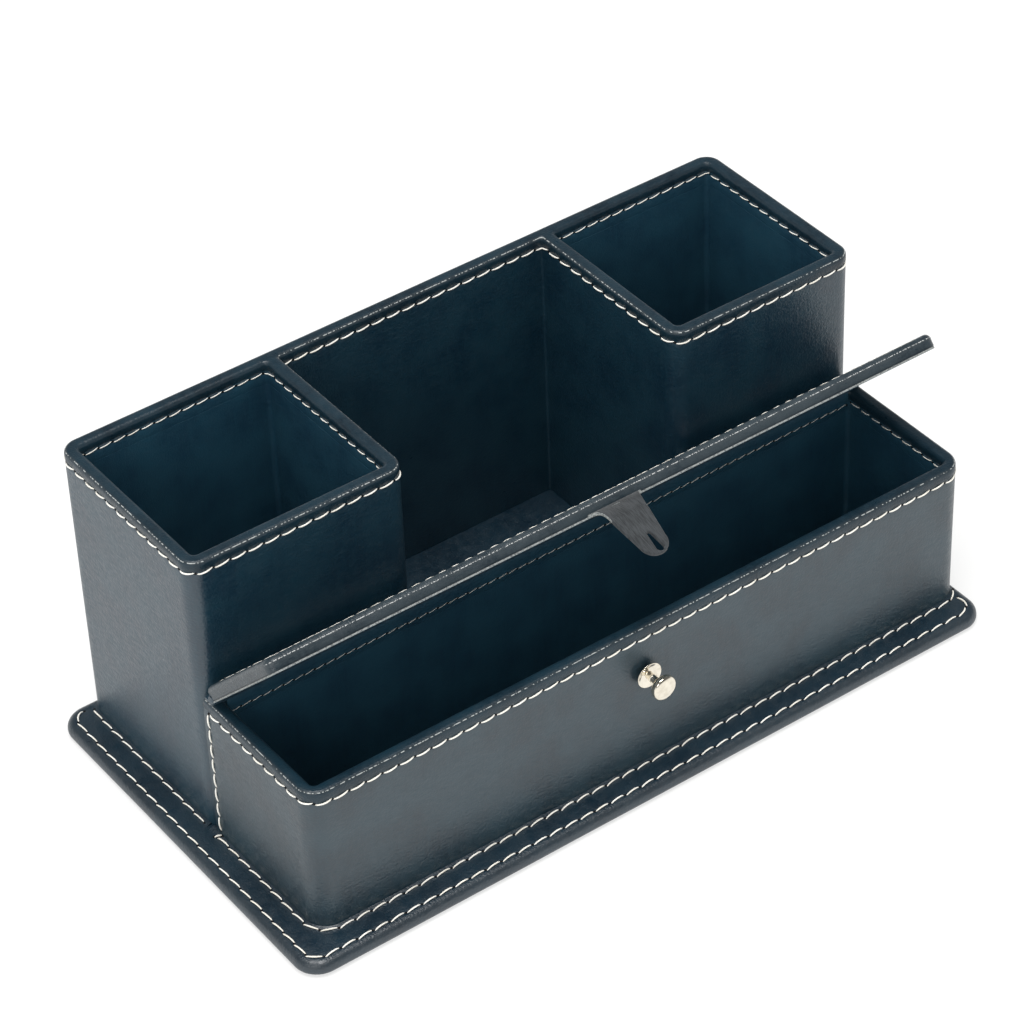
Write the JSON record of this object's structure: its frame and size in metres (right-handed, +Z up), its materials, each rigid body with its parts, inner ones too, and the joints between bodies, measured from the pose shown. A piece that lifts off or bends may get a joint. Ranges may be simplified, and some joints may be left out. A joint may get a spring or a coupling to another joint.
{
  "type": "desk organizer with lidded box",
  "caption": "Leather-covered desk organizer: two tall cups either side of an open bay, and a long lidded box in front with a tab and stud closure, on a wider base.",
  "frame": {"origin": "on the base's underside, below the middle of the walls", "axes": "+X to the right along the long box, -Y to the front where the closure stud is, +Z up"},
  "size_m": [0.2532, 0.1378, 0.1053],
  "materials": {
    "fibreboard": "raw medium-density fibreboard, hidden inside the cover",
    "leather_cover": "black leather-cloth with a fine grain and a soft sheen, cream stitching",
    "leather_base": "black leather-cloth with a fine grain, wrapped round the base board",
    "leather_lining": "black leather-cloth lining, flatter than the cover",
    "leather_trim": "soft black leather-cloth, fine pebbled grain",
    "liner_card": "black card",
    "felt": "black self-adhesive felt",
    "nickel": "bright nickel plate, slightly warm",
    "steel": "zinc-plated steel"
  },
  "bodies": {
    "housing": {"base_board": "fibreboard", "base_cover": "leather_base", "base_liner": "liner_card", "base_felt": "felt", "left_wall_board": "fibreboard", "right_wall_board": "fibreboard", "back_wall_board": "fibreboard", "left_divider_board": "fibreboard", "right_divider_board": "fibreboard", "left_cup_front_board": "fibreboard", "right_cup_front_board": "fibreboard", "left_cup_lining": "leather_lining", "right_cup_lining": "leather_lining", "middle_bay_lining": "leather_lining", "housing_cover": "leather_cover", "left_cup_floor": "leather_lining", "right_cup_floor": "leather_lining", "middle_bay_floor": "leather_lining", "box_left_board": "fibreboard", "box_right_board": "fibreboard", "box_front_board": "fibreboard", "box_rear_board": "fibreboard", "box_lining": "leather_lining", "box_cover": "leather_cover", "box_floor": "leather_lining", "hinge_strip": "leather_trim", "closure_stud": "nickel", "stud_washer": "steel", "stud_screw": "steel"},
    "lid": {"lid_board": "fibreboard", "lid_cover": "leather_cover", "lid_lining": "leather_lining"},
    "closure_tab": {"closure_tab": "leather_trim"}
  },
  "joints": [
    {"name": "lid_hinge", "type": "hinge", "parent": "housing", "child": "lid", "pos_m": [0, -0.01225, 0.0588], "axis": [-1, 0, 0], "range_deg": [-45, 45]},
    {"name": "tab_bend", "type": "hinge", "parent": "lid", "child": "closure_tab", "pos_m": [0, -0.05058, 0.09543], "axis": [1, 0, 0], "range_deg": [-62.5, 27.5]}
  ]
}
